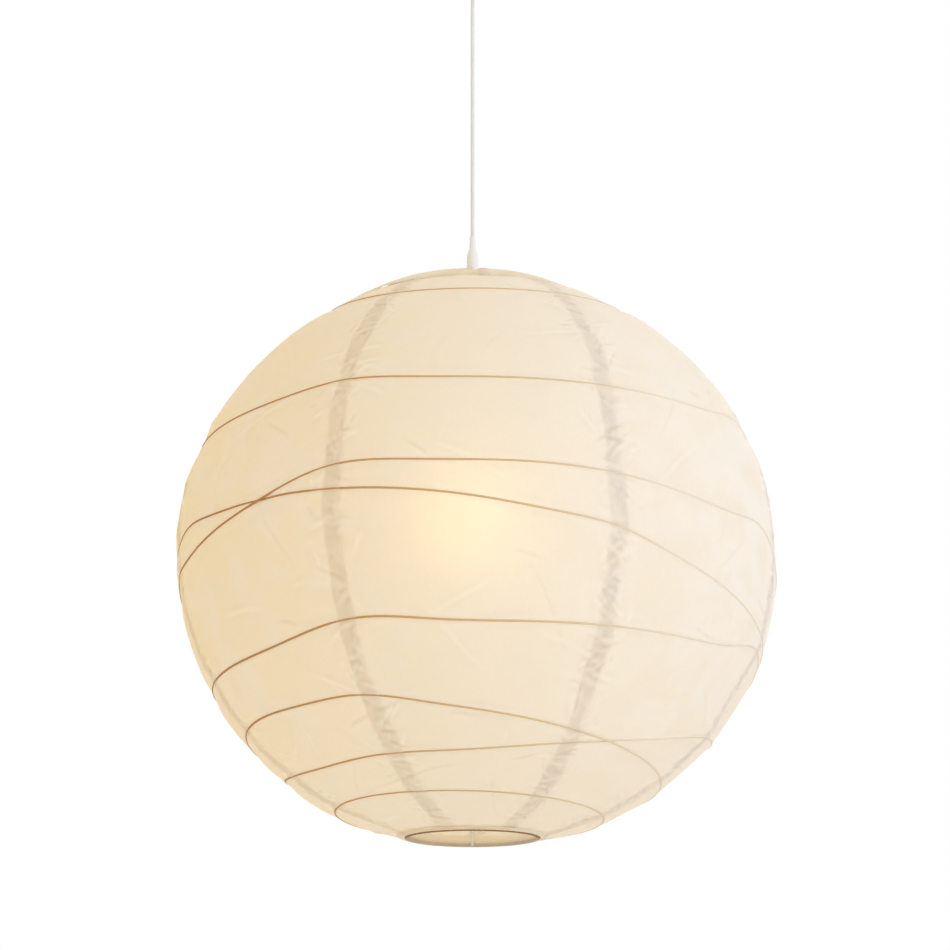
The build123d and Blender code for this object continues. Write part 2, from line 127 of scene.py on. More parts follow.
def paperMaterial(name, look, lapped=True):
    material, tree, coords = startMaterial(name)
    # painted shade and light across the sheet: warmer and darker on the left, whiter on the right
    x = addNode(tree, "ShaderNodeSeparateXYZ", {"Vector": coords}).outputs["X"]
    side = addNode(tree, "ShaderNodeMapRange", {"Value": x, "From Min": -0.2, "From Max": 0.2}).outputs[0]
    base = addNode(tree, "ShaderNodeMix", {0: side, 6: fromHex(look["left"]), 7: fromHex(look["right"])},
                   data_type="RGBA").outputs[2]
    cloud = addNode(tree, "ShaderNodeTexNoise", {"Vector": coords, "Scale": 1 / (look["cloudMm"] * mm),
                    "Detail": 3.0, "Roughness": 0.55}).outputs["Fac"]
    cloudy = addNode(tree, "ShaderNodeValToRGB", {"Fac": cloud},
                     stops=[(0.48, (0, 0, 0, 1)), (0.6, (0.6, 0.6, 0.6, 1))]).outputs["Color"]
    base = addNode(tree, "ShaderNodeMix", {0: cloudy, 6: base, 7: fromHex(look["blush"])},
                   data_type="RGBA").outputs[2]
    stretched = addNode(tree, "ShaderNodeMapping", {"Vector": coords, "Scale": (1, 1, 0.3)}).outputs[0]
    fibre = addNode(tree, "ShaderNodeTexNoise", {"Vector": stretched, "Scale": 1 / (look["fibreMm"] * mm),
                    "Detail": 4.0, "Distortion": 1.5}).outputs["Fac"]
    fibres = addNode(tree, "ShaderNodeValToRGB", {"Fac": fibre},
                     stops=[(0.3, (0.955, 0.955, 0.95, 1)), (0.6, (1, 1, 1, 1))]).outputs["Color"]
    base = addNode(tree, "ShaderNodeMix", {0: 1.0, 6: base, 7: fibres}, data_type="RGBA",
                   blend_type="MULTIPLY").outputs[2]
    share = look["throughShare"]
    through = fromHex(look["through"])
    if lapped:
        furrowShade = fromHex(look["furrowShade"])
        lap = addNode(tree, "ShaderNodeAttribute", attribute_name="lap").outputs["Fac"]
        blotch = addNode(tree, "ShaderNodeTexNoise", {
            "Vector": coords, "Scale": 1 / (look["blotchMm"] * mm), "Detail": 3.0}).outputs["Fac"]
        uneven = addNode(tree, "ShaderNodeMapRange", {"Value": blotch, "From Min": 0.35, "From Max": 0.65,
                                                      "To Min": 0.45}).outputs[0]
        tint = addNode(tree, "ShaderNodeMath", {0: lap, 1: uneven}, operation="MULTIPLY").outputs[0]
        # painted shade: the laps are coloured greyer than the single sheet, and warmer and darker on the left
        # than on the right
        lapColour = addNode(tree, "ShaderNodeMix", {
            0: side, 6: fromHex(look["lapLeft"]), 7: fromHex(look["lapRight"])}, data_type="RGBA").outputs[2]
        base = addNode(tree, "ShaderNodeMix", {0: tint, 6: base, 7: lapColour}, data_type="RGBA").outputs[2]
        # painted highlight along the ridges of the creases and painted shade in their furrows, in the sheet's
        # colour and in the colour the lamp shines through
        crease = addNode(tree, "ShaderNodeAttribute", attribute_name="crease").outputs["Fac"]
        up = addNode(tree, "ShaderNodeMapRange", {"Value": crease, "To Max": look["ridgeHighlightShare"]}).outputs[0]
        down = addNode(tree, "ShaderNodeMapRange", {"Value": crease, "From Max": -1.0,
                                                    "To Max": look["furrowShadeShare"]}).outputs[0]
        base = addNode(tree, "ShaderNodeMix", {0: up, 6: base, 7: fromHex(look["ridgeHighlight"])},
                       data_type="RGBA").outputs[2]
        base = addNode(tree, "ShaderNodeMix", {0: down, 6: base, 7: furrowShade}, data_type="RGBA").outputs[2]
        through = addNode(tree, "ShaderNodeMix", {0: down, 6: through, 7: furrowShade},
                          data_type="RGBA").outputs[2]
        share = addNode(tree, "ShaderNodeMapRange", {"Value": lap, "To Min": look["throughShare"],
                                                     "To Max": look["lapShare"]}).outputs[0]
    bump = addNode(tree, "ShaderNodeBump", {"Height": fibre, "Strength": 0.25, "Distance": 0.08 * mm})
    front = addNode(tree, "ShaderNodeBsdfPrincipled", {"Base Color": base, "Roughness": 0.72,
                    "IOR": 1.35, "Transmission Weight": 0.10, "Normal": bump.outputs[0]})
    back = addNode(tree, "ShaderNodeBsdfTranslucent", {"Color": through, "Normal": bump.outputs[0]})
    both = addNode(tree, "ShaderNodeMixShader", {0: share, 1: front.outputs[0], 2: back.outputs[0]})
    addNode(tree, "ShaderNodeOutputMaterial", {"Surface": both.outputs[0]})
    return material


ricePaper = paperMaterial("rice paper, wrinkled", paperLook)
# doubled and pasted paper lets less of the lamp through; that shade is also painted into its colour, a darker
# tan edge
collarPaper = paperMaterial("rice paper, doubled at the collars",
                            dict(paperLook, left="#E9D5AE", right="#EFE5D2", throughShare=0.22), lapped=False)
# the strip turned into the mouth faces the lamp; that lamp light is painted into its colour as a pale yellow
# rim
mouthPaper = paperMaterial("rice paper, folded into the mouth",
                           dict(paperLook, left="#FFFAE0", right="#FFFAE4", throughShare=0.6), lapped=False)

# hoops
# Height of each hoop's plane on the axis, its slope along X and along Y, and the places where
# the paper pulls it up out of that plane: (azimuth from the front, mm, width in degrees).
hoops = {
    "rib_1": dict(height=187.7, slopeX=-0.1, slopeY=8.7, base=0.0, pulls=[]),
    "rib_2": dict(height=79.5, slopeX=0.2, slopeY=0.7, base=-2.0, pulls=[(-26, 6, 14), (68, 10, 12)]),
    "rib_3": dict(height=-26.5, slopeX=0.9, slopeY=-10.3, base=-3.5,
                  pulls=[(-26, 9.5, 15), (67, 13, 12), (-80, 5, 8)]),
    "rib_4": dict(height=-45.0, slopeX=-8.7, slopeY=-8.0, base=-1.0, pulls=[(-70, 7, 12), (25, 3.5, 10)]),
    "rib_5": dict(height=-93.4, slopeX=1.4, slopeY=-0.2, base=-3.5, pulls=[(-25, 8.5, 16), (75, 12, 14)]),
    "rib_6": dict(height=-152.3, slopeX=4.8, slopeY=7.1, base=-1.0, pulls=[(-30, 3, 22), (75, 3, 15)]),
    "rib_7": dict(height=-156.3, slopeX=-6.4, slopeY=-3.3, base=-1.3, pulls=[(-28, 4, 14)]),
    "rib_8": dict(height=-192.5, slopeX=-1.5, slopeY=-0.2, base=0.0, pulls=[]),
}
crossing = {"rib_4": "rib_3", "rib_6": "rib_7"}    # the first passes inside the second
stepIn = {"everywhere": 0.1, "atCrossing": 1.7, "overMm": 3.6}
hoopWire = {"diameter": 1.7, "inFromPaper": 1.75, "showing": 0.36, "steps": 360, "sides": 10}
globeSize = {"radius": 225.0, "halfHeight": 216.0,
             "asideHeights": [-208, -196, -160, -60, 10, 150, 190, 204],
             "aside": [0, 3.0, 5.4, 5.0, 2.8, 3.0, 2.2, 0]}


def turnFrom(azimuth, centre):
    return (azimuth - math.radians(centre) + math.pi) % (2 * math.pi) - math.pi


def hoopHeight(name, azimuth):
    hoop = hoops[name]
    a = globeSize["radius"] - hoopWire["inFromPaper"]
    b = globeSize["halfHeight"] - hoopWire["inFromPaper"]
    slope = (math.tan(math.radians(hoop["slopeX"])) * np.sin(azimuth)
             - math.tan(math.radians(hoop["slopeY"])) * np.cos(azimuth))
    p, q, r = 1 / a**2 + slope**2 / b**2, 2 * hoop["height"] * slope / b**2, (hoop["height"] / b) ** 2 - 1
    height = hoop["height"] + slope * (-q + np.sqrt(q * q - 4 * p * r)) / (2 * p) + hoop["base"]
    for centre, pull, width in hoop["pulls"]:
        height = height + pull * np.exp(-(turnFrom(azimuth, centre) / math.radians(width)) ** 2)
    return height


def hoopLine(name, azimuth):
    height = hoopHeight(name, azimuth)
    a = globeSize["radius"] - hoopWire["inFromPaper"]
    b = globeSize["halfHeight"] - hoopWire["inFromPaper"]
    radius = a * np.sqrt(1 - (height / b) ** 2)
    if name in crossing:
        apart = height - hoopHeight(crossing[name], azimuth)
        close = np.exp(-(apart / stepIn["overMm"]) ** 2)
        radius = radius - stepIn["everywhere"] - stepIn["atCrossing"] * close
    return radius, height


def hangAside(height):    # the shade hangs a few millimetres to one side of its rings
    return np.interp(height, globeSize["asideHeights"], globeSize["aside"])


# shape of the paper
paperShape = {"columns": 1440, "rows": 430, "topRadius": 99.0, "topHeight": 193.3,
              "footRadius": 51.4, "footHeight": -207.2, "footTilt": 3.0,
              "seams": 7, "firstSeam": -28.0, "lapMm": 13.0,
              "goreColumns": 112, "goreRows": 425, "over": 0.22,
              "creases": 170, "seamCreases": 1300, "seed": 11, "middleRadius": 218,
              "flatMm": 9.0, "bareMm": 3.2, "dipMm": 4.0, "underMm": 0.4,
              "flatter": {"below": -8, "soft": 7, "share": 0.5, "rightShare": 0.5},
              "cone": {"below": -61, "soft": 1.5}}
# what bends a seam, as (mm, waves up the globe, shift from seam to seam), and what widens its lap
seamWander = [(1.3, 3.1, 1.7), (0.7, 7.3, 2.9), (0.5, 19, 4.1), (0.35, 43, 1)]
lapEdge = {"share": 0.86, "waves": [(0.2, 13, 2.3), (0.1, 37, 1)], "softMm": 1.2, "nearMm": 13.0}

azimuths = np.arange(paperShape["columns"]) * 2 * math.pi / paperShape["columns"]
topTurn = math.atan2(paperShape["topHeight"], paperShape["topRadius"])
footTurn = math.atan2(paperShape["footHeight"], paperShape["footRadius"]) + 0.002
turns = np.linspace(footTurn, topTurn, paperShape["rows"])


def paperNoise(u, v, cells, seed):    # smooth hills from about -0.6 to 0.6, closed round u
    wide, tall = cells
    lean = np.random.RandomState(seed).rand(tall + 2, wide) * 2 * math.pi
    x, y = (u % 1.0) * wide, np.clip(v, 0, 1) * tall
    column, row = np.floor(x).astype(int), np.floor(y).astype(int)
    fx, fy = x - column, y - row

    def corner(dx, dy):
        angle = lean[row + dy, (column + dx) % wide]
        return np.cos(angle) * (fx - dx) + np.sin(angle) * (fy - dy)

    sx, sy = fx**3 * (fx * (fx * 6 - 15) + 10), fy**3 * (fy * (fy * 6 - 15) + 10)
    low = corner(0, 0) * (1 - sx) + corner(1, 0) * sx
    high = corner(0, 1) * (1 - sx) + corner(1, 1) * sx
    return low * (1 - sy) + high * sy


def outerHull(points):    # the supports that a tight sheet touches, from the foot up
    kept = []
    for p in sorted(points, key=lambda q: math.atan2(q[1], q[0])):
        while len(kept) > 1:
            (ax, ay), (bx, by) = kept[-2], kept[-1]
            if (bx - ax) * (p[1] - ay) - (by - ay) * (p[0] - ax) > 0:
                break
            kept.pop()
        kept.append(p)
    return np.array(kept)


def stretchPaper():
    stand = hoopWire["diameter"] / 2 - hoopWire["showing"]
    lines = {name: hoopLine(name, azimuths) for name in hoops}
    table = np.zeros((len(turns), len(azimuths)))
    near = np.ones_like(table)
    tilt = math.tan(math.radians(paperShape["footTilt"]))
    a, b = globeSize["radius"] - paperShape["underMm"], globeSize["halfHeight"] - paperShape["underMm"]
    flatter, cone = paperShape["flatter"], paperShape["cone"]
    ellipse = 1 / np.sqrt((np.cos(turns) / a) ** 2 + (np.sin(turns) / b) ** 2)
    for i, azimuth in enumerate(azimuths):
        points = []
        for radius, height in lines.values():
            r, h = radius[i], height[i]
            out = Vector((r / a**2, h / b**2)).normalized() * stand
            points.append((r + out.x, h + out.y))
        foot = paperShape["footHeight"] - tilt * paperShape["footRadius"] * math.cos(azimuth)
        ends = [(paperShape["footRadius"], foot), (paperShape["topRadius"], paperShape["topHeight"])]
        hull = outerHull(points + ends)
        corner = np.arctan2(hull[:, 1], hull[:, 0])
        k = np.clip(np.searchsorted(corner, turns) - 1, 0, len(hull) - 2)
        (px, py), (qx, qy) = hull[k].T, hull[k + 1].T
        chord = (px * qy - py * qx) / (np.cos(turns) * (qy - py) - np.sin(turns) * (qx - px))
        pinch, close, dip = np.ones_like(turns), np.zeros_like(turns), np.zeros_like(turns)
        for r, h in points:
            at, far = math.atan2(h, r), math.hypot(r, h)
            gap = max(0.0, float(np.interp(at, turns, chord)) - far)
            apart = (turns - at) * far
            pinch *= 1 - np.exp(-(apart / paperShape["flatMm"]) ** 2)
            close = np.maximum(close, np.exp(-(apart / paperShape["bareMm"]) ** 2))
            # the paper is pasted to a hoop that passes inside another one, too
            dip = np.maximum(dip, gap * np.exp(-(apart / paperShape["dipMm"]) ** 2))
        lower = 1 / (1 + np.exp((np.degrees(turns) - flatter["below"]) / flatter["soft"]))
        straight = 1 / (1 + np.exp((np.degrees(turns) - cone["below"]) / cone["soft"]))
        # tighter paper low down, most on the right, and a straight cone down to the ring
        bulge = 1.0 - flatter["share"] * lower - flatter["rightShare"] * lower * math.sin(azimuth)
        bulge = bulge * (1 - straight)
        table[:, i] = chord + np.clip(bulge, 0.02, 1.0) * (ellipse - chord) * pinch - dip
        near[:, i] = 1 - close
    return table, near


def seamAzimuth(number, turn):
    drift = 0
    for size, waves, shift in seamWander:
        drift = drift + size * np.sin(turn * waves + number * shift)
    return (math.radians(paperShape["firstSeam"] + number * 360 / paperShape["seams"])
            + drift / globeSize["radius"])


def lapWeight(turn, azimuth, radius):    # 1 where two gores lie over each other
    weight, nearSeam = np.zeros_like(radius), np.zeros_like(radius)
    for number in range(paperShape["seams"]):
        start = seamAzimuth(number, turn)
        along = ((azimuth - start + math.pi) % (2 * math.pi) - math.pi) * radius * np.cos(turn)
        share = lapEdge["share"]
        for size, waves, shift in lapEdge["waves"]:
            share = share + size * np.sin(turn * waves + number * shift)
        wide, soft = paperShape["lapMm"] * share, lapEdge["softMm"]
        inside = np.clip((along + soft) / soft, 0, 1) * np.clip((wide - along) / soft + 1, 0, 1)
        weight = np.maximum(weight, inside)
        aside = (along - paperShape["lapMm"] / 2) / lapEdge["nearMm"]
        nearSeam = np.maximum(nearSeam, np.exp(-aside ** 2))
    return weight, nearSeam


def crumple(table):
    dice = np.random.RandomState(paperShape["seed"])
    middle = paperShape["middleRadius"]
    azimuth, turn = np.meshgrid(azimuths, turns)
    u, v = azimuth / (2 * math.pi), (turn - turns[0]) / (turns[-1] - turns[0])
    _, nearSeam = lapWeight(turn, azimuth, table)
    warp = 0.006 * paperNoise(u, v, (60, 24), 5)
    facets = 0.5 - np.abs(paperNoise(u + 2 * warp, v, (64, 24), 8)) * 2
    soft = paperNoise(u, v, (28, 11), 9)
    patches = np.clip(paperNoise(u, v, (18, 7), 10) * 2.2 + 0.1, 0, 1)
    relief = (0.5 * nearSeam + 0.25 * patches) * facets + 1.1 * soft
    step = azimuths[1] - azimuths[0]
    for number in range(paperShape["creases"] + paperShape["seamCreases"]):
        rise = turns[0] + (0.02 + 0.96 * dice.rand()) * (turns[-1] - turns[0])
        around = middle * max(0.3, math.cos(rise))
        if number < paperShape["creases"]:    # long folds from handling, anywhere
            centre = dice.rand() * 2 * math.pi
            lean = dice.normal(0.75, 0.5) * dice.choice((-1, 1))
            length = 14 + 60 * dice.rand() ** 2
            width, height = 1.3 + 1.0 * dice.rand(), 0.2 + 0.35 * dice.rand()
        else:    # short ones where the laps were pasted
            aside = (paperShape["lapMm"] * (0.5 + dice.normal(0, 0.55))) / around
            centre = float(seamAzimuth(dice.randint(paperShape["seams"]), rise)) + aside
            lean, length = dice.rand() * math.pi, 5 + 17 * dice.rand() ** 1.5
            width, height = 1.1 + 0.7 * dice.rand(), 0.3 + 0.5 * dice.rand()
        height *= dice.choice((-1, 1, 1))
        reach = length / 2 + 6
        rows = np.where(np.abs(turns - rise) * middle < reach)[0]
        across = int(reach / around / step) + 1
        columns = (int(centre / step) + np.arange(-across, across + 1)) % len(azimuths)
        block = np.ix_(rows, columns)
        dx = ((azimuth[block] - centre + math.pi) % (2 * math.pi) - math.pi) * middle * np.cos(turn[block])
        dy = (turn[block] - rise) * middle
        on, off = dx * math.cos(lean) + dy * math.sin(lean), dy * math.cos(lean) - dx * math.sin(lean)
        off = off + 0.02 * length * np.sin(on / length * 5 + number)
        relief[block] += height * np.exp(-np.abs(off) / width) * np.exp(-np.abs(2 * on / length) ** 3)
    return relief


def creaseLines(relief):    # 1 on a sharp ridge, -1 in a sharp furrow
    bend = (np.roll(relief, 1, 1) + np.roll(relief, -1, 1) - 2 * relief)
    bend[1:-1] += relief[2:] + relief[:-2] - 2 * relief[1:-1]
    bend = (np.roll(bend, 1, 1) + np.roll(bend, -1, 1) + 2 * bend) / 4
    bend[1:-1] = (bend[2:] + bend[:-2] + 2 * bend[1:-1]) / 4
    return np.clip(-bend / 0.17, -1, 1)


def sample(table, azimuth, turn):
    x = (azimuth / (azimuths[1] - azimuths[0])) % len(azimuths)
    y = np.clip((turn - turns[0]) / (turns[1] - turns[0]), 0, len(turns) - 1.001)
    c, r = np.floor(x).astype(int), np.floor(y).astype(int)
    fx, fy = x - c, y - r
    c0, c1 = c % len(azimuths), (c + 1) % len(azimuths)
    return ((table[r, c0] * (1 - fx) + table[r, c1] * fx) * (1 - fy)
            + (table[r + 1, c0] * (1 - fx) + table[r + 1, c1] * fx) * fy)


sheet, nearHoop = stretchPaper()
relief = crumple(sheet) * nearHoop
creased = creaseLines(relief)
sheet = sheet + relief
print("paper stretched over the hoops")


def cutGore(number):
    wide, tall = paperShape["goreColumns"], paperShape["goreRows"]
    share, rise = np.meshgrid(np.linspace(0, 1, wide), np.linspace(0, 1, tall))
    turn = turns[0] + rise * (turns[-1] - turns[0])
    start, end = seamAzimuth(number, turn), seamAzimuth(number + 1, turn)
    reach = sample(sheet, start, turn) * np.cos(turn)
    end = end + paperShape["lapMm"] / reach
    azimuth = start + share * (end - start)
    radius = sample(sheet, azimuth, turn)
    lap, _ = lapWeight(turn, azimuth, radius)
    lift = np.clip((share - 0.88) / 0.03, 0, 1)    # the far edge lies over the next gore
    radius = radius + paperShape["over"] * lift
    x = radius * np.cos(turn) * np.sin(azimuth) + hangAside(radius * np.sin(turn))
    y = -radius * np.cos(turn) * np.cos(azimuth)
    z = radius * np.sin(turn) + globeZ / mm
    points = np.stack([x, y, z], axis=-1).reshape(-1, 3) * mm
    faces = [(j * wide + i, j * wide + i + 1, (j + 1) * wide + i + 1, (j + 1) * wide + i)
             for j in range(tall - 1) for i in range(wide - 1)]
    name = f"gore_{number + 1}"
    piece = newPiece(name, points.tolist(), faces, ricePaper)
    for label, values in (("lap", lap), ("crease", sample(creased, azimuth, turn))):
        field = piece.data.attributes.new(label, "FLOAT", "POINT")
        field.data.foreach_set("value", values.reshape(-1).astype(np.float32))
    return piece


for number in range(paperShape["seams"]):
    gore = cutGore(number)
    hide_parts(f"paper_gore_{number + 1}")
    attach(gore, "lantern")
    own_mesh(gore)
print("gores cut and lapped")

# hoops as bent wire
# Thin strip wound in tissue, a matt line: painted shade and light colour it brown on the left, fading to a
# pale lit tone on the right.
def hoopMaterial():
    material, tree, coords = startMaterial("tissue-wound hoop strip")
    x = addNode(tree, "ShaderNodeSeparateXYZ", {"Vector": coords}).outputs["X"]
    side = addNode(tree, "ShaderNodeMapRange", {"Value": x, "From Min": -0.22, "From Max": 0.20}).outputs[0]
    grain = addNode(tree, "ShaderNodeTexNoise", {"Vector": coords, "Scale": 1 / (6 * mm),
                                                 "Detail": 4.0}).outputs["Fac"]
    # painted shade and light: brown on the left, fading to pale on the right
    colour = addNode(tree, "ShaderNodeValToRGB", {"Fac": side}, stops=[
        (0.0, fromHex("#AE7038")), (0.35, fromHex("#CC9E60")), (0.62, fromHex("#DCC497")),
        (0.85, fromHex("#EEE4D2"))]).outputs["Color"]
    streaks = addNode(tree, "ShaderNodeValToRGB", {"Fac": grain}, stops=[
        (0.3, fromHex("#C4A272")), (0.7, fromHex("#E6D2AE"))]).outputs["Color"]
    colour = addNode(tree, "ShaderNodeMix", {0: 0.15, 6: colour, 7: streaks}, data_type="RGBA",
                     blend_type="MULTIPLY").outputs[2]
    bump = addNode(tree, "ShaderNodeBump", {"Height": grain, "Strength": 0.3, "Distance": 0.1 * mm})
    shader = addNode(tree, "ShaderNodeBsdfPrincipled", {"Base Color": colour, "Roughness": 0.6,
                                                        "Normal": bump.outputs[0]})
    addNode(tree, "ShaderNodeOutputMaterial", {"Surface": shader.outputs[0]})
    return material


hoopStrip = hoopMaterial()


def wireTree(material):    # winds a round wire along the edges it is given
    tree = bpy.data.node_groups.new("round wire", "GeometryNodeTree")
    face = tree.interface
    face.new_socket("Geometry", in_out="INPUT", socket_type="NodeSocketGeometry")
    for name, kind, value in (("Wire diameter", "NodeSocketFloat", hoopWire["diameter"] * mm),
                              ("Sides", "NodeSocketInt", hoopWire["sides"])):
        face.new_socket(name, in_out="INPUT", socket_type=kind).default_value = value
    face.new_socket("Geometry", in_out="OUTPUT", socket_type="NodeSocketGeometry")
    start = addNode(tree, "NodeGroupInput")
    half = addNode(tree, "ShaderNodeMath", {0: start.outputs["Wire diameter"], 1: 0.5},
                   operation="MULTIPLY")
    line = addNode(tree, "GeometryNodeMeshToCurve", {"Mesh": start.outputs["Geometry"]})
    ring = addNode(tree, "GeometryNodeCurvePrimitiveCircle",
                   {"Resolution": start.outputs["Sides"], "Radius": half.outputs[0]})
    tube = addNode(tree, "GeometryNodeCurveToMesh", {"Curve": line.outputs[0],
                                                     "Profile Curve": ring.outputs[0]})
    smooth = addNode(tree, "GeometryNodeSetShadeSmooth", {"Geometry": tube.outputs[0]})
    real = addNode(tree, "GeometryNodeRealizeInstances", {"Geometry": smooth.outputs[0]})
    done = addNode(tree, "GeometryNodeSetMaterial", {"Geometry": real.outputs[0], "Material": material})
    addNode(tree, "NodeGroupOutput", {"Geometry": done.outputs[0]})
    return tree


hoopWires = wireTree(hoopStrip)


def windWire(name, points, tree):
    mesh = bpy.data.meshes.new(name + " line")
    count = len(points)
    edges = [(i, (i + 1) % count) for i in range(count)]
    mesh.from_pydata([tuple(p) for p in points], edges, [])
    piece = bpy.data.objects.new(name, mesh)
    bpy.context.scene.collection.objects.link(piece)
    wind = piece.modifiers.new("wire", "NODES")
    wind.node_group = tree
    shown = piece.evaluated_get(bpy.context.evaluated_depsgraph_get())
    solid = bpy.data.meshes.new_from_object(shown)
    piece.modifiers.clear()
    piece.data = solid
    shell = bmesh.new()
    shell.from_mesh(solid)
    bmesh.ops.recalc_face_normals(shell, faces=shell.faces)
    shell.to_mesh(solid)
    shell.free()
    return piece


stations = np.linspace(0, 2 * math.pi, hoopWire["steps"], endpoint=False)
for name in hoops:
    radius, height = hoopLine(name, stations)
    line = np.stack([radius * np.sin(stations) + hangAside(height), -radius * np.cos(stations),
                     height + globeZ / mm], axis=-1) * mm
    hoop = windWire(name.replace("rib", "hoop"), line.tolist(), hoopWires)
    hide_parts(name)
    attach(hoop, name)
print("hoops bent")

# collars
topStrip = {"profile": [(79.7, 206.0), (105.2, 190.7)], "rings": 14, "steps": 360, "ripple": 0.8,
            "bulge": 0.5, "joint": 2.5, "lap": 5.0, "notch": 4.4, "notchTo": 87.0, "over": 0.4}
footStrip = {"profile": [(49.9, -0.75), (55.5, 0.75)], "rings": 8, "steps": 300, "ripple": 0.8,
             "bulge": -0.5, "joint": 160.0, "lap": 5.0, "over": -0.25}
footFlap = {"profile": [(48.0, -1.66), (47.1, -1.44), (46.5, -0.85), (46.3, 0.0), (46.32, 3.5), (46.38, 7.0)],
            "rings": 16, "steps": 300, "ripple": 0.05, "bulge": 0.0, "joint": 60.0, "lap": 5.0, "over": 0.0}
footPlane = {"tilt": 3.0, "baseHeight": -207.5}


def paperStrip(name, strip, seed, material, tilt=0.0, baseHeight=0.0):
    across = np.linspace(0, 1, strip["rings"])
    along = np.radians(np.linspace(strip["joint"], strip["joint"] + 360 + strip["lap"], strip["steps"]))
    share, azimuth = np.meshgrid(across, along)
    u = azimuth / (2 * math.pi)
    places = np.linspace(0, 1, len(strip["profile"]))
    radius = np.interp(share, places, [r for r, h in strip["profile"]])
    height = np.interp(share, places, [h for r, h in strip["profile"]])
    ripple = 0.5 - np.abs(paperNoise(u, share, (70, 3), seed)) * 2
    height = height + (0.25 + 0.3 * share) * strip["ripple"] * ripple
    height = height + strip["bulge"] * np.sin(share * math.pi)
    radius = radius + share * strip["ripple"] * paperNoise(u, share * 0, (40, 2), seed + 1)
    height = height + strip["over"] * np.clip((np.degrees(azimuth) - strip["joint"] - 358) / 1.5, 0, 1)
    x, y = radius * np.sin(azimuth), -radius * np.cos(azimuth)
    z = height + baseHeight
    if tilt:
        lean = math.radians(tilt)
        y, z = (y * math.cos(lean) - height * math.sin(lean),
                baseHeight + y * math.sin(lean) + height * math.cos(lean))
    points = np.stack([x, y, z + globeZ / mm], axis=-1)
    wide = strip["rings"]
    faces = []
    for j in range(strip["steps"] - 1):
        for i in range(wide - 1):
            middle = points[j:j + 2, i:i + 2].reshape(-1, 3).mean(axis=0)
            byHook = "notch" in strip and abs(middle[0]) < strip["notch"]    # cut away round a hook
            if byHook and np.hypot(*middle[:2]) < strip["notchTo"]:
                continue
            quad = (j * wide + i, (j + 1) * wide + i, (j + 1) * wide + i + 1, j * wide + i + 1)
            faces.append(quad[::-1] if baseHeight == 0 else quad)
    return newPiece(name, (points.reshape(-1, 3) * mm).tolist(), faces, material)


topBand = paperStrip("top_band", topStrip, 31, collarPaper)
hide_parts("top_collar")
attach(topBand, "lantern")
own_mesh(topBand)
footBand = paperStrip("foot_band", footStrip, 41, collarPaper, **footPlane)
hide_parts("bottom_collar")
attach(footBand, "shade_foot")
footFold = paperStrip("foot_flap", footFlap, 47, mouthPaper, **footPlane)
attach(footFold, "shade_foot")
print("collars pasted on")

# hardware finishes
# Each one is a fine grain that shifts the colour, the gloss and the surface a little, so that no
# face looks like flat paint. A new surface has an IOR of 1.5, and the metals keep it.
def plainFinish(name, colour, second, roughness, grainMm, bumpMm, metallic=0.0, stretch=(1, 1, 1),
                ior=1.5):
    material, tree, coords = startMaterial(name)
    place = addNode(tree, "ShaderNodeMapping", {"Vector": coords, "Scale": stretch}).outputs[0]
    grain = addNode(tree, "ShaderNodeTexNoise", {"Vector": place, "Scale": 1 / (grainMm * mm),
                                                 "Detail": 4.0, "Roughness": 0.6}).outputs["Fac"]
    base = addNode(tree, "ShaderNodeValToRGB", {"Fac": grain},
                   stops=[(0.35, fromHex(second)), (0.65, fromHex(colour))]).outputs["Color"]
    dull = addNode(tree, "ShaderNodeMapRange", {"Value": grain, "To Min": roughness - 0.06,
                                                "To Max": roughness + 0.08}).outputs[0]
    bump = addNode(tree, "ShaderNodeBump", {"Height": grain, "Strength": 0.4, "Distance": bumpMm * mm})
    shader = addNode(tree, "ShaderNodeBsdfPrincipled", {"Base Color": base, "Roughness": dull, "IOR": ior,
                     "Metallic": metallic, "Normal": bump.outputs[0]})
    addNode(tree, "ShaderNodeOutputMaterial", {"Surface": shader.outputs[0]})
    return material


# a mould's fine spark texture: a soft satin sheen
whitePlastic = plainFinish("satin moulded polypropylene", "#F2F1EE", "#ECEBE8", 0.38, 0.8, 0.02, ior=1.49)
# extruded soft PVC: duller, with faint streaks along the cord
cordJacket = plainFinish("flexible PVC cord jacket", "#E9E9EA", "#DFDFE0", 0.45, 1.2, 0.03,
                         stretch=(1, 1, 0.15), ior=1.53)
# dipped lacquer: an uneven creamy gloss that breaks up the highlight on a wire
whiteWire = plainFinish("white lacquered steel wire", "#E8E4DB", "#DCD6CA", 0.35, 2.5, 0.03)
# painted shade: the ring wire is coloured a dull brown all round, so it reads as a dark line round the mouth
shadedRingWire = plainFinish("ring wire painted brown as shade", "#9A6A3E", "#82552E", 0.5, 3.0, 0.05)
# zinc plating: a cool grey metal with blotchy reflections
zincSteel = plainFinish("zinc plated steel", "#C3C6C9", "#A9ADB2", 0.34, 3.0, 0.02, metallic=1.0)
# rolled strip: warm bright metal with its grain drawn out one way
brass = plainFinish("bright rolled brass", "#D9B36A", "#C79E55", 0.25, 1.5, 0.01, metallic=1.0,
                    stretch=(1, 1, 0.1))
# nickel plating: a smooth, slightly yellow silver
nickel = plainFinish("nickel plated brass", "#CFCBC4", "#BDB8B0", 0.26, 1.2, 0.01, metallic=1.0)
# fired unglazed ceramic: chalky and without highlights
steatite = plainFinish("unglazed steatite", "#E6DFD0", "#D8CFBD", 0.7, 0.5, 0.05, ior=1.55)
# fused glass: near black with a sharp small highlight
blackGlass = plainFinish("black cap glass", "#0E0E10", "#18181B", 0.12, 2.0, 0.01)
# undyed nylon: a milky cream, duller than the white plastic
naturalNylon = plainFinish("natural nylon", "#DEDBCF", "#D2CEBF", 0.5, 0.9, 0.03, ior=1.53)
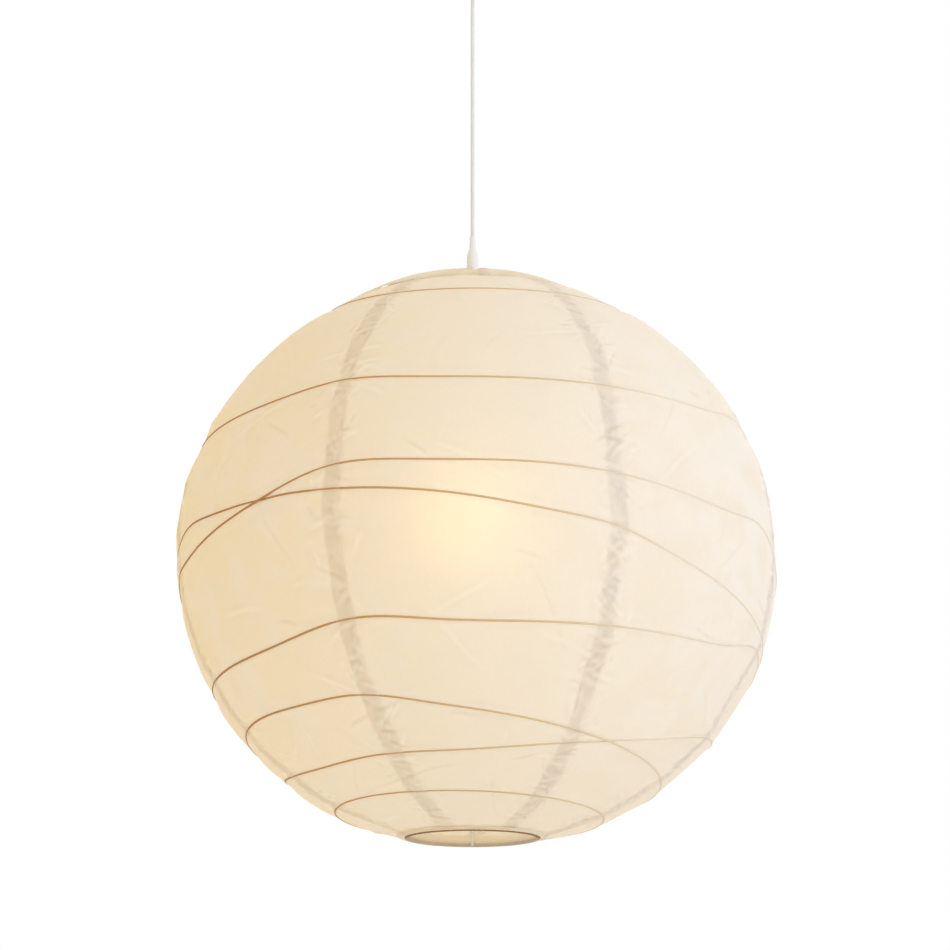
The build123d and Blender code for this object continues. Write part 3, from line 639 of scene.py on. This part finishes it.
# extruded core insulation: an even brown with a low gloss
coreJacket = plainFinish("brown core insulation", "#6B3D22", "#5A3119", 0.4, 1.0, 0.02, ior=1.53)
# moulded bulb body: matt warm white with a fine grain
bulbShell = plainFinish("white thermoplastic bulb body", "#EFEEEA", "#E6E5E0", 0.42, 0.7, 0.03)
# screened solder mask: flat and slightly glossy
boardMask = plainFinish("white solder mask", "#E9E8DF", "#DFDDD2", 0.3, 0.8, 0.01)

lamp = {"dimmer": "#FFD573", "colour": "#FFD97C", "strength": 7.3}


# Opal polycarbonate lit from inside: an even yellow glow, seen through the paper as a warm spot.
def opalMaterial():
    material, tree, coords = startMaterial("lit opal polycarbonate")
    grain = addNode(tree, "ShaderNodeTexNoise", {"Vector": coords, "Scale": 1 / (9 * mm), "Detail": 2.0})
    glow = addNode(tree, "ShaderNodeValToRGB", {"Fac": grain.outputs["Fac"]}, stops=[
        (0.3, fromHex(lamp["dimmer"])), (0.7, fromHex(lamp["colour"]))]).outputs["Color"]
    shader = addNode(tree, "ShaderNodeBsdfPrincipled", {"Base Color": fromHex("#F4F0E8"), "Roughness": 0.4,
                     "Emission Color": glow, "Emission Strength": lamp["strength"]})
    addNode(tree, "ShaderNodeOutputMaterial", {"Surface": shader.outputs[0]})
    return material


finishes = {
    zincSteel: ["ceiling_plate", "threaded_nipple", "plate_nut", "cup_nut", "terminal_screws"],
    whitePlastic: ["ceiling_cup", "cord_grommet", "strain_relief", "holder_stem", "holder_cap",
                   "holder_skirt", "shade_ring"],
    naturalNylon: ["terminal_block"],
    cordJacket: ["cord_tail", "inner_cord"],
    coreJacket: ["conductors"],
    steatite: ["insulator_block"],
    brass: ["screw_shell", "centre_contact"],
    whiteWire: ["stretcher_yoke", "stretcher_leg_front", "stretcher_leg_back", "top_ring"],
    shadedRingWire: ["bottom_ring"],
    nickel: ["bulb_cap", "bulb_contact"],
    blackGlass: ["bulb_insulator"],
    bulbShell: ["bulb_housing"],
    boardMask: ["led_board"],
    opalMaterial(): ["bulb_diffuser"],
}
for finish, nodes in finishes.items():
    for node in nodes:
        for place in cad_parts[node].material_slots:
            place.material = finish
print("hardware finished")

# cord
cordRoute = {"foot": -0.2617, "between": [-0.215, -0.155, -0.1], "top": -0.0528, "diameter": 0.003}
line = bpy.data.curves.new("cord_line", "CURVE")
line.dimensions = "3D"
line.bevel_depth = cordRoute["diameter"] / 2
line.bevel_resolution = 6
line.use_fill_caps = True
route = line.splines.new("NURBS")
heights = [cordRoute["foot"], *cordRoute["between"], cordRoute["top"]]
route.points.add(len(heights) - 1)
for point, z in zip(route.points, heights):
    point.co = (0, 0, z, 1)
route.order_u = 3
route.use_endpoint_u = True
line.materials.append(cordJacket)
cord = bpy.data.objects.new("cord_line", line)
bpy.context.scene.collection.objects.link(cord)
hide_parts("cord")
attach(cord, "cord")
print("cord hung")

# floor and light
# painted board: matt, with a faint wide unevenness so that it is not one flat tone
floorPaint = plainFinish("pale floor", "#F4F3F1", "#F1F0EE", 0.8, 60.0, 0.2)
ground = {"half": 9, "z": -2.4}
corners = [(x * ground["half"], y * ground["half"], ground["z"]) for x, y in
           [(-1, -1), (1, -1), (1, 1), (-1, 1)]]
floor = newPiece("floor", corners, [(0, 1, 2, 3)], floorPaint, smooth=False)

room = {"left": "#F8E8CC", "right": "#F6FAFF", "strength": 0.92}
world = bpy.data.worlds.new("studio")
bpy.context.scene.world = world
world.use_nodes = True
sky = world.node_tree
sky.nodes.clear()
direction = addNode(sky, "ShaderNodeTexCoord").outputs["Generated"]
x = addNode(sky, "ShaderNodeSeparateXYZ", {"Vector": direction}).outputs["X"]
side = addNode(sky, "ShaderNodeMapRange", {"Value": x, "From Min": -0.9, "From Max": 0.6}).outputs[0]
roomColour = addNode(sky, "ShaderNodeMix", {0: side, 6: fromHex(room["left"]), 7: fromHex(room["right"])},
                     data_type="RGBA").outputs[2]
roomLight = addNode(sky, "ShaderNodeBackground", {"Color": roomColour, "Strength": room["strength"]})
seen = addNode(sky, "ShaderNodeBackground", {"Color": (1, 1, 1, 1), "Strength": 1.0})
ray = addNode(sky, "ShaderNodeLightPath").outputs["Is Camera Ray"]
mixed = addNode(sky, "ShaderNodeMixShader", {0: ray, 1: roomLight.outputs[0], 2: seen.outputs[0]})
addNode(sky, "ShaderNodeOutputWorld", {"Surface": mixed.outputs[0]})


def softBox(name, place, size, watts, colour):
    light = bpy.data.lights.new(name, "AREA")
    light.shape = "DISK"
    light.size = size
    light.energy = watts
    light.color = fromHex(colour)[:3]
    box = bpy.data.objects.new(name, light)
    box.location = place
    box.rotation_euler = (Vector((0, 0, globeZ)) - Vector(place)).to_track_quat("-Z", "Y").to_euler()
    bpy.context.scene.collection.objects.link(box)


softBox("window side", (1.9, -1.5, -0.1), 1.2, 14, "#EEF3FF")
softBox("underneath", (-0.3, -1.2, -2.0), 1.0, 3, "#FFF6E6")
print("lit")
